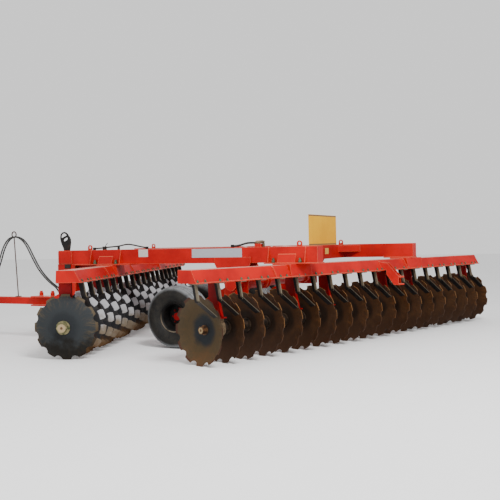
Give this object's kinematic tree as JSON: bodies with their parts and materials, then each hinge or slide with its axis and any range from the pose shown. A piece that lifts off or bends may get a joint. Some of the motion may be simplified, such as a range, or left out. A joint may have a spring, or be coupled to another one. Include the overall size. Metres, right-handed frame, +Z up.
{
  "type": "offset disc harrow",
  "caption": "Heavy trailed offset disc harrow with two angled gangs of notched discs, a welded frame, lift wheels and a drawbar.",
  "frame": {"origin": "centre of the bore of the drawbar's hitch eye, 620 mm above the ground", "axes": "+X rearward, +Y to the machine's far (right-hand) side, +Z up"},
  "size_m": [8.7571, 6.6215, 1.896],
  "materials": {
    "red_paint": "gloss",
    "rusty_disc": "rough",
    "dark_disc": "satin",
    "black_paint": "satin",
    "dusty_cast": "rough",
    "bare_steel": "satin",
    "tyre_rubber": "rough",
    "rim_paint": "satin",
    "hose_rubber": "satin",
    "sign_yellow": "satin"
  },
  "bodies": {
    "frame": {"beam_gussets": "red_paint", "beam_hose": "hose_rubber", "cylinder_lugs": "red_paint", "far_main_beam": "red_paint", "front_bearings": "dusty_cast", "front_cross_beam": "red_paint", "front_gang_beam": "red_paint", "front_scrapers": "black_paint", "front_standards": "red_paint", "gang_seats": "red_paint", "hitch_hanger": "red_paint", "hitch_sleeve": "red_paint", "hose_clips": "black_paint", "level_bar": "black_paint", "lifting_eyes": "red_paint", "near_main_beam": "red_paint", "rear_bearings": "dusty_cast", "rear_cross_beam": "red_paint", "rear_gang_beam": "red_paint", "rear_scrapers": "black_paint", "rear_standards": "red_paint", "rockshaft_brackets": "red_paint", "seat_ribs": "red_paint", "sign_board": "sign_yellow", "sign_posts": "red_paint", "tow_bracket": "red_paint", "valve_block": "red_paint", "valve_hose": "hose_rubber"},
    "front_gang_1": {"front_discs_1": "dark_disc", "front_axle_1": "dusty_cast"},
    "front_gang_2": {"front_discs_2": "dark_disc", "front_axle_2": "dusty_cast"},
    "front_gang_3": {"front_discs_3": "dark_disc", "front_axle_3": "dusty_cast"},
    "rear_gang_1": {"rear_discs_1": "rusty_disc", "rear_axle_1": "dusty_cast"},
    "rear_gang_2": {"rear_discs_2": "rusty_disc", "rear_axle_2": "dusty_cast"},
    "rear_gang_3": {"rear_discs_3": "rusty_disc", "rear_axle_3": "dusty_cast"},
    "rockshaft": {"rockshaft": "red_paint"},
    "near_wheels": {"near_tyres": "tyre_rubber", "near_wheel_rims": "rim_paint", "near_wheel_axle": "red_paint"},
    "far_wheels": {"far_tyres": "tyre_rubber", "far_wheel_rims": "rim_paint", "far_wheel_axle": "red_paint"},
    "near_cylinder_barrel": {"near_cylinder_barrel": "red_paint"},
    "near_cylinder_rod": {"near_cylinder_rod": "bare_steel"},
    "far_cylinder_barrel": {"far_cylinder_barrel": "red_paint"},
    "far_cylinder_rod": {"far_cylinder_rod": "bare_steel"},
    "drawbar": {"drawbar": "red_paint", "drawbar_yoke": "red_paint", "hose_rod": "rusty_disc", "coupler_rest": "red_paint", "near_hose": "hose_rubber", "far_hose": "hose_rubber"}
  },
  "joints": [
    {"name": "front_gang_1_spin", "type": "hinge", "parent": "frame", "child": "front_gang_1", "pos_m": [4.01931, -0.77436, -0.188], "axis": [-0.3502, 0.9367, 0], "continuous": true},
    {"name": "front_gang_2_spin", "type": "hinge", "parent": "frame", "child": "front_gang_2", "pos_m": [3.27127, 1.22637, -0.188], "axis": [-0.3502, 0.9367, 0], "continuous": true},
    {"name": "front_gang_3_spin", "type": "hinge", "parent": "frame", "child": "front_gang_3", "pos_m": [2.46089, 3.39383, -0.188], "axis": [-0.3502, 0.9367, 0], "continuous": true},
    {"name": "rear_gang_1_spin", "type": "hinge", "parent": "frame", "child": "rear_gang_1", "pos_m": [6.55798, -0.65853, -0.188], "axis": [0.3123, 0.95, 0], "continuous": true},
    {"name": "rear_gang_2_spin", "type": "hinge", "parent": "frame", "child": "rear_gang_2", "pos_m": [7.22513, 1.37061, -0.188], "axis": [0.3123, 0.95, 0], "continuous": true},
    {"name": "rear_gang_3_spin", "type": "hinge", "parent": "frame", "child": "rear_gang_3", "pos_m": [7.94787, 3.56885, -0.188], "axis": [0.3123, 0.95, 0], "continuous": true},
    {"name": "rockshaft_lift", "type": "hinge", "parent": "frame", "child": "rockshaft", "pos_m": [6.02, 0, 0.28], "axis": [0, 1, 0], "range_deg": [-22, 12]},
    {"name": "near_wheels_spin", "type": "hinge", "parent": "rockshaft", "child": "near_wheels", "pos_m": [5.145, 0.19, -0.174], "axis": [0, 1, 0], "continuous": true},
    {"name": "far_wheels_spin", "type": "hinge", "parent": "rockshaft", "child": "far_wheels", "pos_m": [5.145, 2.42, -0.174], "axis": [0, 1, 0], "continuous": true},
    {"name": "near_barrel_swing", "type": "hinge", "parent": "frame", "child": "near_cylinder_barrel", "pos_m": [6.405, 0.85, 0.715], "axis": [0, 1, 0], "range_deg": [-10.69, 5.85]},
    {"name": "near_rod_slide", "type": "slide", "parent": "near_cylinder_barrel", "child": "near_cylinder_rod", "axis": [-0.9973, 0, 0.0728], "range_m": [-0.09345, 0.17091]},
    {"name": "far_barrel_swing", "type": "hinge", "parent": "frame", "child": "far_cylinder_barrel", "pos_m": [6.405, 1.76, 0.715], "axis": [0, 1, 0], "range_deg": [-10.69, 5.85]},
    {"name": "far_rod_slide", "type": "slide", "parent": "far_cylinder_barrel", "child": "far_cylinder_rod", "axis": [-0.9973, 0, 0.0728], "range_m": [-0.09345, 0.17091]},
    {"name": "drawbar_hinge", "type": "hinge", "parent": "frame", "child": "drawbar", "pos_m": [2.83, 0, 0], "axis": [0, 1, 0], "range_deg": [-8, 12]}
  ],
  "couplings": [
    {"joint": "near_barrel_swing", "follows": "rockshaft_lift", "ratio": 0.48355},
    {"joint": "near_rod_slide", "follows": "rockshaft_lift", "m_per_rad": -0.44381},
    {"joint": "far_barrel_swing", "follows": "rockshaft_lift", "ratio": 0.48355},
    {"joint": "far_rod_slide", "follows": "rockshaft_lift", "m_per_rad": -0.44381}
  ]
}
